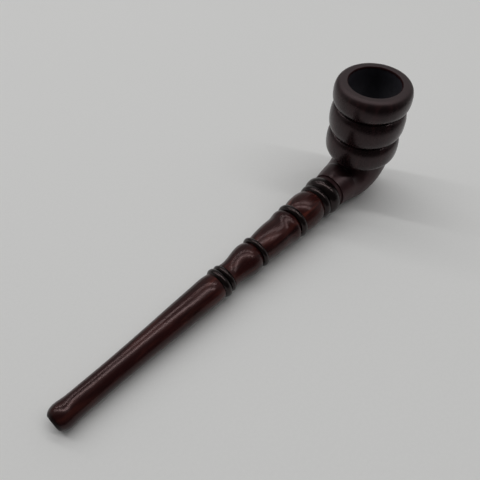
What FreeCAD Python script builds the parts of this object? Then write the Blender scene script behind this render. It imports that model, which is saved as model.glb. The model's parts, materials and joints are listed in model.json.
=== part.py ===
"""Turned rosewood tobacco pipe: a three-ring bowl and its heel in one piece, a stem of
turned sections parted by ebony rings, and a long tapered mouthpiece. Two brass tubes join
the three, so that the stem pulls out of the bowl and the mouthpiece out of the stem.

Row frame, millimetres: the origin is under the bowl's axis on the plane the pipe rests on,
+Z is up along the bowl's axis, and +X runs towards the mouthpiece. The stem's axis drops a
little towards the mouthpiece, so the pipe rests on the flat of its heel and on its bit.
Stations are distances along the stem's axis from the bowl's axis.
"""

import FreeCAD
import Part

import math
import os

V = FreeCAD.Vector

# Bowl: outside, turned about the bowl's axis ------------------------------------------
RIM_HEIGHT = 52.4           # rim above the resting plane
RIM_FLAT_RADIUS = 11.4      # where the narrow flat rim starts to roll over
GROOVE_RADIUS = 11.8        # at the bottom of the grooves between the rings
BOWL_RINGS = (              # crest radius, then depths below the rim: crest, groove under it
    (14.9, 5.1, 9.7),
    (14.8, 15.7, 21.7),
    (14.6, 27.3, 32.7),
)
FULLNESS = 2.5              # 2 makes the rings' sections elliptical, more makes them squarer

# Bowl: chamber ------------------------------------------------------------------------
CHAMBER_RADIUS = 10.0
CHAMBER_STRAIGHT = 24.4     # depth of the straight wall, before the rounded floor
CHAMBER_DEPTH = 36.4
CHAMBER_EDGE = 0.6          # rounding of the chamber's mouth

# Heel: circles that fan out about a line parallel to Y, from the shank up to the bowl ---
AXIS_HEIGHT = 9.1           # stem axis above the resting plane, on the bowl's axis
PIVOT_X = 11.8
PIVOT_DEPTH = 33.4          # below the rim
HEEL_TOP_X = -3.6           # centre of the level circle under the third ring
HEEL_TOP_RADIUS = 11.2
HEEL_BELLY = 0.5            # swelling of the middle circle
HEEL_SAG = 1.2              # how far the middle circle drops away from the pivot line
HEEL_CIRCLES = 7

# Shank --------------------------------------------------------------------------------
SHANK_START_RADIUS = 8.75
SHANK_MIDDLE = (15.2, 8.23)     # station and radius
SHANK_SHOULDER = (18.4, 7.62)
SHANK_NECK_RADIUS = 7.0         # short neck that sets the collar off
SHANK_END = 19.95
SPIGOT_RADIUS = 5.8         # turned-down end of the shank, which carries the collar

# Airway and tubes ---------------------------------------------------------------------
DRAUGHT_RADIUS = 1.7        # holes down from the chamber and along the shank
STEM_AIRWAY_RADIUS = 1.5
MOUTH_AIRWAY_RADIUS = 1.3
FRONT_TUBE_RADIUS = 3.5
FRONT_TUBE_BORE = 1.9
REAR_TUBE_RADIUS = 2.5
REAR_TUBE_BORE = 1.5
PUSH_FIT = 0.04             # radial clearance of a tube in a socket that it leaves
GLUE_GAP = 0.01             # radial gap in a glued joint
SOCKET_END_GAP = 0.5        # between a tube's end and the bottom of its socket
FRONT_TUBE_REACH = 12.0     # how far the front tube enters the bowl's shank
REAR_TUBE_REACH = 9.0       # how far the rear tube enters the stem

# Stations of the stem's pieces ----------------------------------------------------------
COLLAR_END = 25.5
FRONT_RING = (25.55, 29.0)
BEAD = (29.05, 40.0)
LONG_VASE = (43.15, 61.9)
RING_GAP = 0.05             # gap at each face of a ring that a wooden spigot carries
SHORT_VASE = (64.15, 78.7)
REAR_RING = (78.75, 81.0)
MOUTH_RING = (81.05, 84.05)
MOUTH_END = 154.0
GLUED_SPIGOT_RADIUS = 3.5   # ends of the long vase, glued into its neighbours
GLUED_SPIGOT_REACH = 4.2
MOUTH_SPIGOT_RADIUS = 4.2   # end of the mouthpiece, which carries its ring

# Crest radii of the ebony rings, and how far their edges lie below the crest ------------
COLLAR_CREST = 8.36
FRONT_RING_CREST = 7.58
MIDDLE_RING_CREST = 7.43
NECK_RING_CREST = 6.5
REAR_RING_CREST = 5.72
MOUTH_RING_CREST = 6.1
COLLAR_EDGE = 1.45
RING_EDGE = 1.0

# Bit ------------------------------------------------------------------------------------
BIT_CREST_AT = 150.9
BIT_CREST_RADIUS = 4.65
BIT_FACE_RADIUS = 3.0
BIT_DISH_RADIUS = 1.9       # the air hole's countersunk mouth
BIT_DISH_DEPTH = 0.9

STEM_DROP = math.asin((AXIS_HEIGHT - BIT_CREST_RADIUS) / BIT_CREST_AT)
STEM = FreeCAD.Placement(
    V(0, 0, AXIS_HEIGHT),
    FreeCAD.Rotation(V(0, 1, 0), math.degrees(STEM_DROP)),
)


def line(start, end):
    return Part.LineSegment(V(*start), V(*end)).toShape()


def arc(start, middle, end):
    return Part.Arc(V(*start), V(*middle), V(*end)).toShape()


def swell(inner, level, out, up):
    """Quarter of a rounded section in the XZ plane. It starts upright at its crest, at radius
    inner + out, and ends level at radius inner, at height level + up."""
    steps = 6
    points = []
    for step in range(steps + 1):
        angle = step / steps * math.pi / 2
        across = math.cos(angle) ** (2 / FULLNESS)
        upright = math.sin(angle) ** (2 / FULLNESS)
        points.append(V(inner + out * across, 0, level + up * upright))
    curve = Part.BSplineCurve()
    curve.interpolate(Points=points, InitialTangent=V(0, 0, math.copysign(1, up)),
                      FinalTangent=V(-1, 0, 0))
    return curve.toShape()


def spun(edges, axis):
    """The solid that a closed outline sweeps in one turn about an axis through the origin."""
    wire = Part.Wire(Part.__sortEdges__(edges))
    return Part.Face(wire).revolve(V(0, 0, 0), V(*axis), 360)


def rod(start, end, radius):
    """A plain cylinder on the stem's axis."""
    return Part.makeCylinder(radius, end - start, V(start, 0, 0), V(1, 0, 0))


def turned(points):
    """A solid turned about the stem's axis, with one smooth curve through the points
    (station, radius) and a flat face at each end."""
    curve = Part.BSplineCurve()
    curve.interpolate([V(station, 0, radius) for station, radius in points])
    (first, first_radius), (last, last_radius) = points[0], points[-1]
    edges = [
        curve.toShape(),
        line((last, 0, last_radius), (last, 0, 0)),
        line((last, 0, 0), (first, 0, 0)),
        line((first, 0, 0), (first, 0, first_radius)),
    ]
    return spun(edges, (1, 0, 0))


def ring(ends, crest, edge, bore):
    """An ebony ring with a rounded rim that falls by edge at both of its faces."""
    first, last = ends
    middle = (first + last) / 2
    rim = arc((first, 0, crest - edge), (middle, 0, crest), (last, 0, crest - edge))
    edges = [
        rim,
        line((last, 0, crest - edge), (last, 0, bore)),
        line((last, 0, bore), (first, 0, bore)),
        line((first, 0, bore), (first, 0, crest - edge)),
    ]
    return spun(edges, (1, 0, 0))


def tube(start, end, radius, bore):
    """A brass tube with chamfered ends."""
    chamfer = 0.25
    body = rod(start, end, radius)
    rims = [e for e in body.Edges if isinstance(e.Curve, Part.Circle)]
    return body.makeChamfer(chamfer, rims).cut(rod(start - 1, end + 1, bore))


def bowl_outside():
    """The flat rim and the three rings."""
    edges = [line((0, 0, RIM_HEIGHT), (RIM_FLAT_RADIUS, 0, RIM_HEIGHT))]
    inner, upper_groove = RIM_FLAT_RADIUS, 0.0
    for crest_radius, crest, groove in BOWL_RINGS:
        level = RIM_HEIGHT - crest
        edges.append(swell(inner, level, crest_radius - inner, crest - upper_groove))
        inner, upper_groove = GROOVE_RADIUS, groove
        edges.append(swell(inner, level, crest_radius - inner, crest - groove))
    bottom = RIM_HEIGHT - upper_groove
    edges.append(line((inner, 0, bottom), (0, 0, bottom)))
    edges.append(line((0, 0, bottom), (0, 0, RIM_HEIGHT)))
    return spun(edges, (0, 0, 1))


def heel_circle(share):
    """One circle of the heel. As share goes from 0 at the shank to 1 under the bowl, its
    plane turns about the pivot line from square to the stem to level."""
    pivot = V(PIVOT_X, 0, RIM_HEIGHT - PIVOT_DEPTH)
    shank_reach = (pivot.z - AXIS_HEIGHT) * math.cos(STEM_DROP) + PIVOT_X * math.sin(STEM_DROP)
    middle = math.sin(math.pi * share)
    angle = STEM_DROP + share * (math.pi / 2 - STEM_DROP)
    top_reach = PIVOT_X - HEEL_TOP_X
    reach = shank_reach + share * (top_reach - shank_reach) + middle * HEEL_SAG
    radius = SHANK_START_RADIUS + share * (HEEL_TOP_RADIUS - SHANK_START_RADIUS)
    radius += middle * HEEL_BELLY
    centre = pivot + V(-math.sin(angle), 0, -math.cos(angle)) * reach
    return Part.Wire(Part.makeCircle(radius, centre, V(-math.cos(angle), 0, math.sin(angle))))


def heel():
    """The curved heel, and the short neck that joins it to the bowl's third ring."""
    circles = [heel_circle(n / (HEEL_CIRCLES - 1)) for n in range(HEEL_CIRCLES)]
    neck_start = V(HEEL_TOP_X, 0, RIM_HEIGHT - PIVOT_DEPTH)
    neck_end = V(0, 0, RIM_HEIGHT - BOWL_RINGS[-1][1])
    neck = Part.makeLoft([
        Part.Wire(Part.makeCircle(HEEL_TOP_RADIUS, neck_start)),
        Part.Wire(Part.makeCircle(GROOVE_RADIUS, neck_end)),
    ], True)
    return Part.makeLoft(circles, True).fuse(neck)


def shank_start():
    """Station at which the heel's first circle meets the straight shank."""
    drop = PIVOT_DEPTH - (RIM_HEIGHT - AXIS_HEIGHT)
    return PIVOT_X * math.cos(STEM_DROP) + drop * math.sin(STEM_DROP)


def shank():
    """The straight shank, its neck and the spigot for the collar."""
    start = shank_start()
    outside = turned((
        (start, SHANK_START_RADIUS),
        SHANK_MIDDLE,
        SHANK_SHOULDER,
    ))
    neck = rod(start, SHANK_END, SHANK_NECK_RADIUS)
    spigot = rod(start, COLLAR_END - GLUE_GAP, SPIGOT_RADIUS)
    body = outside.fuse([neck, spigot])
    body.Placement = STEM
    return body


def chamber():
    """The hollow of the bowl: a rounded mouth, a straight wall and a rounded floor."""
    top, wall = RIM_HEIGHT, CHAMBER_RADIUS
    round_top = top - CHAMBER_STRAIGHT
    floor = top - CHAMBER_DEPTH
    reach = wall + CHAMBER_EDGE
    slant = CHAMBER_EDGE * math.sqrt(0.5)
    edges = [
        line((0, 0, floor), (0, 0, top)),
        line((0, 0, top), (reach, 0, top)),
        arc((reach, 0, top), (reach - slant, 0, top + slant - CHAMBER_EDGE),
            (wall, 0, top - CHAMBER_EDGE)),
        line((wall, 0, top - CHAMBER_EDGE), (wall, 0, round_top)),
        swell(0, round_top, wall, floor - round_top),
    ]
    return spun(edges, (0, 0, 1))


def airway():
    """A hole down from the chamber's floor, a hole along the shank to meet it, and the front
    tube's socket in the shank's end."""
    socket_floor = COLLAR_END - FRONT_TUBE_REACH - SOCKET_END_GAP
    along = rod(0, COLLAR_END, DRAUGHT_RADIUS).fuse(
        rod(socket_floor, COLLAR_END + 1, FRONT_TUBE_RADIUS + PUSH_FIT))
    along.Placement = STEM
    bottom = AXIS_HEIGHT - DRAUGHT_RADIUS
    down = Part.makeCylinder(DRAUGHT_RADIUS, RIM_HEIGHT - bottom, V(0, 0, bottom))
    return along.fuse(down)


def bowl():
    """The bowl, heel and shank, flattened where the heel rests and hollowed out."""
    reach = 2 * RIM_HEIGHT
    above_table = Part.makeBox(2 * reach, 2 * reach, reach, V(-reach, -reach, 0))
    solid = bowl_outside().fuse([heel(), shank()]).common(above_table)
    return solid.removeSplitter().cut([chamber(), airway()])


def shank_collar():
    """The wide ebony collar, glued on the shank's spigot."""
    ends = (SHANK_END, COLLAR_END)
    return ring(ends, COLLAR_CREST, COLLAR_EDGE, SPIGOT_RADIUS + GLUE_GAP)


def front_tenon():
    start = COLLAR_END - FRONT_TUBE_REACH
    end = BEAD[1] - GLUED_SPIGOT_REACH - SOCKET_END_GAP
    return tube(start, end, FRONT_TUBE_RADIUS, FRONT_TUBE_BORE)


def front_ring():
    return ring(FRONT_RING, FRONT_RING_CREST, RING_EDGE, FRONT_TUBE_RADIUS + GLUE_GAP)


def stem_bead():
    outside = turned((
        (BEAD[0], 6.4),
        (31.0, 7.17),
        (34.2, 7.54),
        (37.2, 7.3),
        (BEAD[1], 6.4),
    ))
    return outside.cut(rod(BEAD[0] - 1, BEAD[1] + 1, FRONT_TUBE_RADIUS + PUSH_FIT))


def middle_ring():
    ends = (BEAD[1] + RING_GAP, LONG_VASE[0] - RING_GAP)
    return ring(ends, MIDDLE_RING_CREST, RING_EDGE, GLUED_SPIGOT_RADIUS + GLUE_GAP)


def long_vase():
    """The long turned section, with a spigot at each end that carries a ring and is glued
    into the next section."""
    outside = turned((
        (LONG_VASE[0], 5.9),
        (45.5, 7.16),
        (48.4, 6.62),
        (51.5, 6.52),
        (55.0, 6.42),
        (58.0, 6.14),
        (LONG_VASE[1], 5.5),
    ))
    spigots = rod(BEAD[1] - GLUED_SPIGOT_REACH, SHORT_VASE[0] + GLUED_SPIGOT_REACH,
                  GLUED_SPIGOT_RADIUS)
    hole = rod(BEAD[0], SHORT_VASE[1], STEM_AIRWAY_RADIUS)
    return outside.fuse(spigots).cut(hole)


def neck_ring():
    ends = (LONG_VASE[1] + RING_GAP, SHORT_VASE[0] - RING_GAP)
    return ring(ends, NECK_RING_CREST, RING_EDGE, GLUED_SPIGOT_RADIUS + GLUE_GAP)


def short_vase():
    outside = turned((
        (SHORT_VASE[0], 5.25),
        (66.8, 6.23),
        (70.4, 5.98),
        (73.4, 5.32),
        (76.4, 4.95),
        (SHORT_VASE[1], 5.15),
    ))
    glued = rod(SHORT_VASE[0] - 1, SHORT_VASE[0] + GLUED_SPIGOT_REACH + GLUE_GAP,
                GLUED_SPIGOT_RADIUS + GLUE_GAP)
    socket = rod(SHORT_VASE[0], SHORT_VASE[1] + 1, REAR_TUBE_RADIUS + PUSH_FIT)
    return outside.cut([glued, socket])


def rear_tenon():
    start = SHORT_VASE[1] - REAR_TUBE_REACH
    return tube(start, MOUTH_RING[1] + REAR_TUBE_REACH, REAR_TUBE_RADIUS, REAR_TUBE_BORE)


def rear_ring():
    return ring(REAR_RING, REAR_RING_CREST, RING_EDGE, REAR_TUBE_RADIUS + GLUE_GAP)


def mouthpiece_ring():
    ends = (MOUTH_RING[0], MOUTH_RING[1] - RING_GAP)
    return ring(ends, MOUTH_RING_CREST, RING_EDGE, MOUTH_SPIGOT_RADIUS + GLUE_GAP)


def mouthpiece():
    """The long taper, flared at the bit, on a spigot that carries its ring."""
    start = MOUTH_RING[1]
    outside = turned((
        (start, 5.2),
        (87.0, 5.62),
        (91.0, 5.55),
        (97.0, 5.37),
        (111.0, 4.87),
        (125.0, 4.46),
        (134.5, 4.33),
        (144.0, 4.34),
        (147.6, 4.44),
        (BIT_CREST_AT, BIT_CREST_RADIUS),
        (152.7, 4.18),
        (MOUTH_END, BIT_FACE_RADIUS),
    ))
    spigot = rod(MOUTH_RING[0], start, MOUTH_SPIGOT_RADIUS)
    socket_floor = start + REAR_TUBE_REACH + SOCKET_END_GAP
    socket = rod(MOUTH_RING[0] - 1, socket_floor, REAR_TUBE_RADIUS + PUSH_FIT)
    hole = rod(start, MOUTH_END + 1, MOUTH_AIRWAY_RADIUS)
    dish = Part.makeCone(MOUTH_AIRWAY_RADIUS, BIT_DISH_RADIUS, BIT_DISH_DEPTH,
                         V(MOUTH_END - BIT_DISH_DEPTH, 0, 0), V(1, 0, 0))
    return outside.fuse(spigot).cut([socket, hole, dish])


def write(name, shape, placement=FreeCAD.Placement()):
    shape = shape.copy()
    shape.Placement = placement.multiply(shape.Placement)
    solid = shape.Solids[0]
    if len(shape.Solids) != 1 or not solid.isValid():
        raise ValueError(f"{name} is not one valid solid")
    solid.exportStep(f"parts/{name}.step")


os.makedirs("parts", exist_ok=True)
write("bowl", bowl())
for piece in (shank_collar, front_tenon, front_ring, stem_bead, middle_ring, long_vase,
              neck_ring, short_vase, rear_tenon, rear_ring, mouthpiece_ring, mouthpiece):
    write(piece.__name__, piece(), STEM)
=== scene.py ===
"""Looks of the turned tobacco pipe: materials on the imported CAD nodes, floor, light, camera.

Lengths are in metres in the row frame: +Z is up the bowl's axis, +X points to the mouthpiece,
and the origin is under the bowl on the resting plane. Noise scales are per metre.
"""

import json
import math

import bpy
from mathutils import Matrix, Vector


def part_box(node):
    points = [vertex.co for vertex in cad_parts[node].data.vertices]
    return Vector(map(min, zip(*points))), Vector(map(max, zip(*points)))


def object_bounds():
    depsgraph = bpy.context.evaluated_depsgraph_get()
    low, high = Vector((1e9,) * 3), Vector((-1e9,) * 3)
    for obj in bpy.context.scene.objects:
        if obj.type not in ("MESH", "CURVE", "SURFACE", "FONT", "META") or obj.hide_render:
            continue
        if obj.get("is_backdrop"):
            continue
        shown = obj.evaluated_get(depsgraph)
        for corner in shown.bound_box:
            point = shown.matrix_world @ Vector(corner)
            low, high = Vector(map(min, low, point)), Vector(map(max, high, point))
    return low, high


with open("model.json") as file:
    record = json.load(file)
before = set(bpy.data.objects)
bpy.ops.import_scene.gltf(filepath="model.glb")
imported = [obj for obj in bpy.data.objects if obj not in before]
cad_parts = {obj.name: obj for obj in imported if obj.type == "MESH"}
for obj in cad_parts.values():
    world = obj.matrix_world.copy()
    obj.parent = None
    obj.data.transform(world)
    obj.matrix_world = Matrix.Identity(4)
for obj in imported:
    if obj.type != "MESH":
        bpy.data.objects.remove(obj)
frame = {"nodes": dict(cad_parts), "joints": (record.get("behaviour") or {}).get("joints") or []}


def plain_bounds():
    """The whole object's box as plain lists."""
    return json.loads(json.dumps(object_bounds(), default=list))


cad_bounds = plain_bounds()

MM = 0.001
UP = Vector((0, 0, 1))
UNTURNED = (0.0, 0.0, 0.0)
UNSHIFTED = (0, 0, 0)

# Camera: it looks at a point on the table from the mouthpiece's side -------------------------
CAMERA_TARGET = Vector((58.86, -12.51, 0)) * MM
CAMERA_DISTANCE = 208.3 * MM
CAMERA_AZIMUTH = 44.72          # degrees from +X towards +Y, from the target to the camera
CAMERA_ELEVATION = 51.08
CAMERA_ROLL = -0.147
CAMERA_LENS = 38.06             # millimetres, as the sensor's width is
SENSOR_WIDTH = 36.0
CAMERA_SHIFT = (-0.00052083, 0.00020833)    # right and up, as shares of the picture's width
CAMERA_NEAR = 10 * MM

# Ceiling lights ------------------------------------------------------------------------------
CEILING_HEIGHT = 1.2
STRIP_LENGTH = 2.9
STRIP_WIDTH = 0.065
# Each strip: its name, how far it lies beyond the target and to the right of it as shares of
# the ceiling's height, its turn in degrees from the picture's width, and its power in watts.
STRIPS = (
    ("strip_over", 0.10, -0.15, 18.0, 6.6),
    ("strip_beyond", 0.64, -0.45, 22.0, 5.6),
)

# Room ----------------------------------------------------------------------------------------
ROOM_COLOUR = (1.0, 1.0, 0.995)
ROOM_LIGHT = 0.30               # strength on the side beyond the pipe
ROOM_DARK = 0.06                # and on the side behind the camera
ROOM_FADE = (-0.32, -0.02)      # a ray's reach away from the camera's side: dark below, light above
BACKGROUND = 0.36               # strength that the camera itself sees past the floor

# Floor ---------------------------------------------------------------------------------------
FLOOR_RADIUS = 2.0
FLOOR_SIDES = 96
FLOOR_SPECKS = ((0.84, 0.84, 0.83), (0.88, 0.88, 0.87))
FLOOR_CLOUD = (0.82, 0.82, 0.815)
FLOOR_ROUGHNESS = 0.65
MIRRORED_PAINTED_SHADE = (0.10, 0.10, 0.10)      # painted shade: the floor's colour in reflections, on the shaded side
MIRRORED_SIDE = 70.0                    # that side, in degrees from +X towards +Y
MIRRORED_FADE = (72 * MM, 125 * MM)     # distances towards it between which the colour changes

# Woods: colour of the pale grain, of the body, and of the dark streaks -------------------------
STEM_WOOD = ((0.064, 0.0150, 0.0115), (0.025, 0.0050, 0.0050), (0.008, 0.0030, 0.0033))
BEAD_WOOD = ((0.105, 0.0240, 0.0170), (0.037, 0.0085, 0.0075), (0.010, 0.0038, 0.0036))
BOWL_WOOD = ((0.028, 0.0090, 0.0095), (0.0085, 0.0034, 0.0038), (0.0035, 0.0020, 0.0022))
STEM_TINT = (1.0, 0.71, 0.70)   # colour of the reflections, as are the next two
BOWL_TINT = (1.0, 0.74, 0.76)
EBONY_TINT = (1.0, 0.76, 0.75)
SHINE = 0.5                     # neutral: the refractive index alone sets the reflection

# Bowl: marks of use with painted light, and the chamber's shape, which the soot follows ---------
# painted highlight: colour of the rim's flat top, paler where it faces the light
RIM_TOP_PAINTED_LIGHT = (0.0335, 0.0252, 0.0262)
# painted reflection: the heel's paler colour stands for the bright floor it mirrors
HEEL_PAINTED_REFLECTION = (0.046, 0.0180, 0.0200)
HEEL_FADE = (19 * MM, 11 * MM)  # heights between which the heel's painted reflection and duller finish set in
SCORCH = (0.020, 0.0056, 0.0062)
# soot and ash colours, made paler as painted light in the chamber's shade
SOOT_AND_PAINTED_LIGHT = ((0.030, 0.030, 0.038), (0.060, 0.059, 0.070))
ASH_AND_PAINTED_LIGHT = ((0.190, 0.190, 0.215), (0.320, 0.316, 0.345))
CHAMBER_RADIUS = 10 * MM
CHAMBER_STRAIGHT = 24.4 * MM    # depth of the straight wall
CHAMBER_ROUND = 12 * MM         # depth of the rounded floor under it

# Mouthpiece: colours of the handled wood and of the end's painted shade
# --------------------------------
HANDLED = (0.010, 0.0034, 0.0036)
# painted shade on the flat end of the mouthpiece
END_PAINTED_SHADE = (0.0040, 0.0022, 0.0022)

# Rings and tubes: dark and pale grain, clouds and rubbed edges; bright and tarnished metal -----
EBONY_GRAIN = ((0.0026, 0.0018, 0.0018), (0.0074, 0.0052, 0.0048))
EBONY_CLOUD = (0.0048, 0.0036, 0.0033)
EBONY_RUBBED = (0.032, 0.025, 0.022)
BRASS = ((0.62, 0.43, 0.17), (0.30, 0.18, 0.07))


class Graph:
    """A material's node tree, with one short call for each node."""

    def __init__(self, name):
        self.material = bpy.data.materials.new(name)
        self.material.use_nodes = True
        self.tree = self.material.node_tree
        self.tree.nodes.clear()

    def add(self, kind, settings=None, **inputs):
        """A node of this kind. Inputs are values or other nodes' outputs, by socket name with
        underscores for spaces."""
        node = self.tree.nodes.new(kind)
        for key, value in (settings or {}).items():
            setattr(node, key, value)
        for key, value in inputs.items():
            self.feed(node.inputs[key.replace("_", " ")], value)
        return node

    def feed(self, socket, value):
        """Links an output to the socket, or sets the socket to a plain value."""
        if isinstance(value, bpy.types.NodeSocket):
            self.tree.links.new(value, socket)
        elif isinstance(value, (tuple, list)) and len(value) == 3 and socket.type == "RGBA":
            socket.default_value = (*value, 1.0)
        else:
            socket.default_value = value

    def math(self, operation, a, b=0.0):
        node = self.tree.nodes.new("ShaderNodeMath")
        node.operation = operation
        self.feed(node.inputs[0], a)
        self.feed(node.inputs[1], b)
        return node.outputs[0]

    def plus(self, a, b):
        return self.math("ADD", a, b)

    def times(self, a, b):
        return self.math("MULTIPLY", a, b)

    def mix(self, share, a, b):
        """a where share is 0, b where it is 1."""
        node = self.tree.nodes.new("ShaderNodeMix")
        node.data_type = "RGBA"
        self.feed(node.inputs["Factor"], share)
        self.feed(node.inputs["A"], a)
        self.feed(node.inputs["B"], b)
        return node.outputs["Result"]

    def ramp(self, value, start, end):
        """0 at start, 1 at end, smooth between. start may be the greater of the two."""
        node = self.tree.nodes.new("ShaderNodeMapRange")
        node.interpolation_type = "SMOOTHSTEP"
        for key, number in (("Value", value), ("From Min", start), ("From Max", end)):
            self.feed(node.inputs[key], number)
        return node.outputs["Result"]

    def along(self, vector, direction):
        """How far the vector reaches in this direction."""
        node = self.add("ShaderNodeVectorMath", {"operation": "DOT_PRODUCT"})
        self.feed(node.inputs[0], vector)
        self.feed(node.inputs[1], direction)
        return node.outputs["Value"]

    def noise(self, where, scale=1.0, detail=3.0, roughness=0.55, distortion=0.0):
        node = self.add("ShaderNodeTexNoise", Vector=where, Scale=scale, Detail=detail,
                        Roughness=roughness, Distortion=distortion)
        return node.outputs[0]

    def coordinates(self):
        """The object's own coordinates. For the CAD nodes at rest they are the row frame's."""
        return self.add("ShaderNodeTexCoord").outputs["Object"]

    def position(self):
        """The same coordinates as separate x, y and z."""
        return self.add("ShaderNodeSeparateXYZ", Vector=self.coordinates()).outputs

    def place(self, rotation, scale, offset):
        """The object's own coordinates, turned, then stretched and shifted."""
        turned = self.add("ShaderNodeMapping", Vector=self.coordinates(), Rotation=rotation)
        return self.add("ShaderNodeMapping", Vector=turned.outputs[0], Location=offset,
                        Scale=scale).outputs[0]

    def worn_edges(self, radius):
        """1 on sharp edges, 0 on smooth stretches."""
        rounded = self.add("ShaderNodeBevel", {"samples": 6}, Radius=radius).outputs[0]
        true = self.add("ShaderNodeNewGeometry").outputs["Normal"]
        return self.ramp(self.along(rounded, true), 0.995, 0.93)

    def bump(self, strength, distance, height):
        return self.add("ShaderNodeBump", Strength=strength, Distance=distance,
                        Height=height).outputs[0]

    def surface(self, **inputs):
        """Gives the material one Principled shader with these inputs, and returns it."""
        shader = self.add("ShaderNodeBsdfPrincipled", **inputs)
        output = self.tree.nodes.new("ShaderNodeOutputMaterial")
        self.tree.links.new(shader.outputs[0], output.inputs["Surface"])
        return self.material


def grain_colour(g, rotation, shift, colours):
    """Rosewood's colour, and where its pores are. Worn edges show the pale grain."""
    pale, body, dark = colours
    figure = g.place(rotation, (45, 250, 250), shift)
    layers = g.place(rotation, (14, 230, 190), shift)
    fine = g.place(rotation, (140, 3400, 3400), shift)

    drift = g.noise(figure, detail=3.0, roughness=0.5, distortion=0.8)
    bands = g.noise(layers, scale=1.3, detail=2.0, roughness=0.5, distortion=1.2)
    streaks = g.ramp(g.plus(g.times(drift, 0.50), g.times(bands, 0.50)), 0.42, 0.64)
    pores = g.ramp(g.noise(fine, detail=2.0, roughness=0.6), 0.58, 0.72)
    lights = g.noise(figure, scale=1.5, detail=2.0, roughness=0.5, distortion=0.5)

    colour = g.mix(g.ramp(lights, 0.45, 0.74), body, pale)
    colour = g.mix(g.times(streaks, 0.75), colour, dark)
    colour = g.mix(g.times(pores, 0.35), colour, dark)
    colour = g.mix(g.times(g.worn_edges(0.35 * MM), 0.35), colour, pale)
    return colour, pores


def grain_relief(g, rotation, shift, pores, relief):
    """Slow ripples, small dents and open pores, as a bump up to a tenth of a millimetre."""
    ripple = g.noise(g.place(rotation, (60, 110, 110), shift), detail=2.0)
    dents = g.noise(g.place(rotation, (330, 520, 520), shift), detail=2.0)
    height = g.math("SUBTRACT", g.times(ripple, 0.8), g.times(pores, 0.08))
    height = g.plus(height, g.times(dents, 0.22))
    return g.bump(relief, 0.10 * MM, height)


def wood(name, colours, tint, turn, seed, polish=0.22, relief=0.38, index=1.39, wear=None):
    """Rosewood with its grain along the local X axis after turn (radians about Y). polish is
    the middle roughness, relief the bump's strength and index the refractive index. wear is a
    function that changes the colour, roughness and shine where the wood is burnt or rubbed, and
    where light or shade is painted."""
    g = Graph(name)
    shift = (seed * 13.7, seed * 5.3, seed * 8.9)
    rotation = (0.0, turn, 0.0)
    colour, pores = grain_colour(g, rotation, shift, colours)

    cloud = g.noise(g.place(rotation, (90, 160, 160), shift))
    rough = g.plus(g.times(cloud, 0.10), polish - 0.05)
    rough = g.plus(rough, g.times(pores, 0.10))
    shine = SHINE
    if wear:
        colour, rough, shine = wear(g, colour, rough)

    normal = grain_relief(g, rotation, shift, pores, relief)
    return g.surface(Base_Color=colour, Roughness=rough, Normal=normal, IOR=index,
                     Specular_IOR_Level=shine, Specular_Tint=tint)


def dull_rim_painted_top(g, height, flecks, colour, rough):
    """The rim, made rough by heat, with a paler flat top: a painted highlight where the top faces
    the light.
    """
    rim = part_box("bowl")[1].z
    near_rim = g.ramp(height, rim - 2.6 * MM, rim - 0.6 * MM)
    uneven = g.plus(height, g.times(flecks, -0.25 * MM))
    # painted highlight: the flat top is paler
    lit_top_mask = g.ramp(uneven, rim - 1.0 * MM, rim - 0.25 * MM)
    return g.mix(g.times(lit_top_mask, 0.85), colour, RIM_TOP_PAINTED_LIGHT), g.plus(rough, g.times(near_rim, 0.22))


def dull_heel_painted_reflection(g, height, colour, rough):
    """The heel, less polished than the rings, and paler: a painted reflection of the bright floor
    below it.
    """
    low = g.ramp(height, *HEEL_FADE)
    return g.mix(g.times(low, 0.70), colour, HEEL_PAINTED_REFLECTION), g.plus(rough, g.times(low, 0.12))


def chamber_reach(g, place):
    """The chamber's radius, on its straight wall and on an ellipse as wide and deep as its
    rounded floor. The floor is fuller than the ellipse, so over most of it this is greater."""
    wall_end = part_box("bowl")[1].z - CHAMBER_STRAIGHT
    down = g.math("MAXIMUM", g.math("SUBTRACT", wall_end, place[2]), 0.0)
    down = g.times(down, CHAMBER_RADIUS / CHAMBER_ROUND)
    out = g.plus(g.times(place[0], place[0]), g.times(place[1], place[1]))
    return g.math("SQRT", g.plus(out, g.times(down, down)))


def burnt_chamber_painted_light(g, place, flecks, colour, rough):
    """A scorched edge round the mouth, then soot on the straight wall that turns to ash lower
    down. Soot and ash are painted paler than the chamber's shade would show them, most of all
    deep down: painted light that lifts the shade. The ash fades out on the rounded floor, where
    chamber_reach is too great for it."""
    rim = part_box("bowl")[1].z
    reach = chamber_reach(g, place)
    uneven = g.plus(reach, g.times(flecks, -0.35 * MM))
    scorched = g.ramp(uneven, CHAMBER_RADIUS + 0.24 * MM, CHAMBER_RADIUS + 0.04 * MM)
    colour = g.mix(scorched, colour, SCORCH)

    inside = g.ramp(reach, CHAMBER_RADIUS + 0.16 * MM, CHAMBER_RADIUS + 0.03 * MM)
    below = g.ramp(g.plus(place[2], g.times(flecks, -1.2 * MM)), rim - 1.0 * MM, rim - 1.9 * MM)
    soot_and_light_mask = g.times(inside, below)
    # painted light: the lining grows paler deeper down, where the shade is deepest
    depth = g.ramp(place[2], rim - 3 * MM, rim - 24 * MM)
    lining_and_painted_light = g.mix(depth, g.mix(flecks, *SOOT_AND_PAINTED_LIGHT), g.mix(flecks, *ASH_AND_PAINTED_LIGHT))
    colour = g.mix(soot_and_light_mask, colour, lining_and_painted_light)

    burnt = g.math("MAXIMUM", soot_and_light_mask, scorched)
    rough = g.plus(rough, g.times(burnt, 0.40))
    shine = g.math("SUBTRACT", SHINE, g.times(burnt, 0.38))
    return colour, rough, shine


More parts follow.
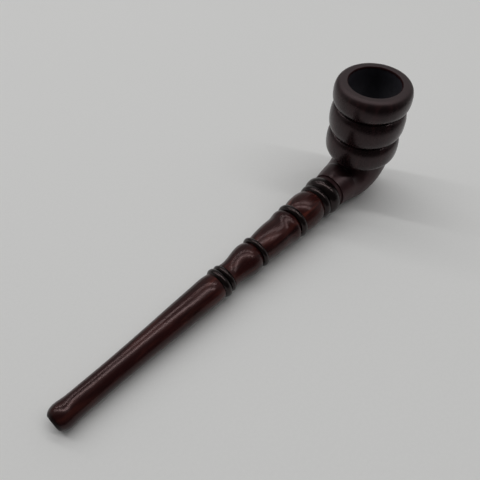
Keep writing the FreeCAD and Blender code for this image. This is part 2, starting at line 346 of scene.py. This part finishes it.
def used_bowl(g, colour, rough):
    """The bowl's marks of use, with painted light on the rim's top, the heel and the chamber's
    lining.
    """
    place = g.position()
    flecks = g.noise(g.place(UNTURNED, (500, 500, 350), (3, 1, 7)), detail=4.0, roughness=0.7)
    colour, rough = dull_rim_painted_top(g, place[2], flecks, colour, rough)
    colour, rough = dull_heel_painted_reflection(g, place[2], colour, rough)
    return burnt_chamber_painted_light(g, place, flecks, colour, rough)


def handled_and_shaded_end(g, colour, rough):
    """The mouthpiece grows darker towards its flat end. The end itself is nearly black, a painted
    shade where it faces away from the lamps.
    """
    station = g.position()[0]
    low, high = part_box("mouthpiece")
    handled = g.ramp(station, low.x, high.x)
    colour = g.mix(g.times(handled, 0.45), colour, HANDLED)
    # painted shade: the flat end turns nearly black
    shaded_end_mask = g.ramp(station, high.x - 1.6 * MM, high.x - 0.5 * MM)
    colour = g.mix(g.times(shaded_end_mask, 0.9), colour, END_PAINTED_SHADE)
    rough = g.plus(rough, g.times(shaded_end_mask, 0.15))
    shine = g.math("SUBTRACT", SHINE, g.times(shaded_end_mask, 0.30))
    return colour, rough, shine


def ebony(name, seed):
    """Near-black wood with a faint warm sheen, paler where its edges are rubbed."""
    g = Graph(name)
    shift = (seed * 3.1, seed * 11.3, seed * 6.1)
    grain = g.noise(g.place(UNTURNED, (120, 900, 900), shift), detail=4.0, roughness=0.65)
    cloud = g.noise(g.place(UNTURNED, (260, 260, 260), shift))
    colour = g.mix(g.ramp(grain, 0.40, 0.68), *EBONY_GRAIN)
    colour = g.mix(g.times(cloud, 0.25), colour, EBONY_CLOUD)
    colour = g.mix(g.times(g.worn_edges(0.25 * MM), 0.25), colour, EBONY_RUBBED)
    rough = g.plus(g.times(cloud, 0.12), 0.17)
    normal = g.bump(0.35, 0.07 * MM, g.plus(g.times(cloud, 0.7), g.times(grain, 0.20)))
    return g.surface(Base_Color=colour, Roughness=rough, Normal=normal, IOR=1.42,
                     Specular_Tint=EBONY_TINT)


def brass(name):
    """Drawn brass tube, brushed along its length, with tarnish in patches."""
    g = Graph(name)
    lines = g.noise(g.place(UNTURNED, (150, 5200, 5200), UNSHIFTED), detail=2.0)
    cloud = g.noise(g.place(UNTURNED, (330, 330, 330), UNSHIFTED), detail=4.0, roughness=0.6)
    colour = g.mix(g.ramp(cloud, 0.42, 0.70), *BRASS)
    rough = g.plus(g.times(lines, 0.20), g.times(cloud, 0.25))
    normal = g.bump(0.35, 0.02 * MM, lines)
    return g.surface(Base_Color=colour, Metallic=1.0, Roughness=rough, Normal=normal)


def horizontal(degrees):
    """The level direction at this angle from +X towards +Y."""
    angle = math.radians(degrees)
    return Vector((math.cos(angle), math.sin(angle), 0))


def floor_material():
    """Plain pale floor. Only in reflections it turns dark towards one side, a painted shade for the
    floor lying in shadow there, which keeps the upper slopes of the bowl's rings dark."""
    g = Graph("pale_floor")
    speck = g.noise(g.place(UNTURNED, (900, 900, 900), UNSHIFTED))
    cloud = g.noise(g.place(UNTURNED, (6, 6, 6), UNSHIFTED), detail=2.0)
    colour = g.mix(speck, *FLOOR_SPECKS)
    colour = g.mix(g.times(cloud, 0.15), colour, FLOOR_CLOUD)
    far = g.ramp(g.along(g.coordinates(), horizontal(MIRRORED_SIDE)), *MIRRORED_FADE)
    mirrored = g.add("ShaderNodeLightPath").outputs["Is Glossy Ray"]
    # painted shade, seen only by glossy rays
    colour = g.mix(g.times(far, mirrored), colour, MIRRORED_PAINTED_SHADE)
    return g.surface(Base_Color=colour, Roughness=FLOOR_ROUGHNESS)


def dress(node, material):
    """Gives a CAD node its material, in every slot."""
    mesh = frame["nodes"][node].data
    for index in range(len(mesh.materials)):
        mesh.materials[index] = material


def stem_turn():
    """The stem's slope about Y, from the record's first joint axis."""
    axis = Vector(frame["joints"][0]["axis"])
    return math.atan2(axis.z, axis.x)


def dress_bowl():
    upright = math.pi / 2
    dress("bowl", wood("rosewood_bowl", BOWL_WOOD, BOWL_TINT, upright, 1.0, polish=0.27,
                       relief=0.15, index=1.46, wear=used_bowl))


def dress_stem():
    slope = stem_turn()
    dress("stem_bead", wood("rosewood_bead", BEAD_WOOD, STEM_TINT, slope, 2.0))
    dress("long_vase", wood("rosewood_long_vase", STEM_WOOD, STEM_TINT, slope, 3.0))
    dress("short_vase", wood("rosewood_short_vase", STEM_WOOD, STEM_TINT, slope, 4.0))
    dress("mouthpiece", wood("rosewood_mouthpiece", STEM_WOOD, STEM_TINT, slope, 5.0,
                             polish=0.19, relief=0.25, wear=handled_and_shaded_end))


def dress_rings():
    rings = ("shank_collar", "front_ring", "middle_ring", "neck_ring", "rear_ring",
             "mouthpiece_ring")
    for seed, ring in enumerate(rings):
        dress(ring, ebony("ebony_" + ring, seed))


def dress_tubes():
    tube = brass("brass_tube")
    dress("front_tenon", tube)
    dress("rear_tenon", tube)


def add_floor():
    """A round floor, wide enough to fill low views up to the background."""
    corners = [horizontal(360 * n / FLOOR_SIDES) * FLOOR_RADIUS for n in range(FLOOR_SIDES)]
    mesh = bpy.data.meshes.new("floor")
    mesh.from_pydata(corners, [], [tuple(range(FLOOR_SIDES))])
    mesh.materials.append(floor_material())
    floor = bpy.data.objects.new("floor", mesh)
    floor.location.z = min(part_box(node)[0].z for node in frame["nodes"])
    bpy.context.scene.collection.objects.link(floor)
    floor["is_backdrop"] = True


def add_strip(name, away, side, degrees, power):
    """A long ceiling light. away is how far its middle lies beyond the camera's target, side
    how far to the picture's right, both as shares of the ceiling's height, and degrees its
    turn from the picture's width."""
    back = -horizontal(CAMERA_AZIMUTH)
    right = Vector((back.y, -back.x, 0))
    spot = CAMERA_TARGET + CEILING_HEIGHT * (back * away + right * side + UP)
    light = bpy.data.lights.new(name, "AREA")
    light.shape = "RECTANGLE"
    light.size = STRIP_LENGTH
    light.size_y = STRIP_WIDTH
    light.energy = power
    lamp = bpy.data.objects.new(name, light)
    turn = math.radians(degrees)
    length = right * math.cos(turn) - back * math.sin(turn)
    axes = Matrix((length, UP.cross(length), UP)).transposed().to_4x4()
    lamp.matrix_world = Matrix.Translation(spot) @ axes
    bpy.context.scene.collection.objects.link(lamp)


def add_room():
    """Soft light from all round, brighter beyond the pipe than behind the camera. The camera
    itself sees a plain background."""
    world = bpy.data.worlds.new("room")
    bpy.context.scene.world = world
    world.use_nodes = True
    tree = world.node_tree
    tree.nodes.clear()
    incoming = tree.nodes.new("ShaderNodeNewGeometry").outputs["Incoming"]
    away = tree.nodes.new("ShaderNodeVectorMath")
    away.operation = "DOT_PRODUCT"
    tree.links.new(incoming, away.inputs[0])
    away.inputs[1].default_value = horizontal(CAMERA_AZIMUTH)
    light = tree.nodes.new("ShaderNodeMapRange")
    light.interpolation_type = "SMOOTHSTEP"
    tree.links.new(away.outputs["Value"], light.inputs["Value"])
    light.inputs["From Min"].default_value, light.inputs["From Max"].default_value = ROOM_FADE
    light.inputs["To Min"].default_value = ROOM_DARK
    light.inputs["To Max"].default_value = ROOM_LIGHT
    seen = tree.nodes.new("ShaderNodeLightPath").outputs["Is Camera Ray"]
    strength = tree.nodes.new("ShaderNodeMix")
    tree.links.new(seen, strength.inputs[0])
    tree.links.new(light.outputs["Result"], strength.inputs[2])
    strength.inputs[3].default_value = BACKGROUND
    background = tree.nodes.new("ShaderNodeBackground")
    background.inputs["Color"].default_value = (*ROOM_COLOUR, 1.0)
    tree.links.new(strength.outputs[0], background.inputs["Strength"])
    output = tree.nodes.new("ShaderNodeOutputWorld")
    tree.links.new(background.outputs[0], output.inputs["Surface"])


def add_camera():
    data = bpy.data.cameras.new("camera")
    data.sensor_width = SENSOR_WIDTH
    data.lens = CAMERA_LENS
    data.shift_x, data.shift_y = CAMERA_SHIFT
    data.clip_start = CAMERA_NEAR
    camera = bpy.data.objects.new("camera", data)
    bpy.context.scene.collection.objects.link(camera)
    lift = math.radians(CAMERA_ELEVATION)
    back = horizontal(CAMERA_AZIMUTH) * math.cos(lift) + UP * math.sin(lift)
    aim = (-back).to_track_quat("-Z", "Y").to_matrix().to_4x4()
    roll = Matrix.Rotation(math.radians(CAMERA_ROLL), 4, "Z")
    camera.matrix_world = Matrix.Translation(CAMERA_TARGET + back * CAMERA_DISTANCE) @ aim @ roll
    bpy.context.scene.camera = camera


dress_bowl()
dress_stem()
dress_rings()
dress_tubes()
add_floor()
add_room()
for strip in STRIPS:
    add_strip(*strip)
add_camera()
bpy.context.scene.view_settings.view_transform = "Standard"

{"cad": cad_bounds, "visual": plain_bounds()}
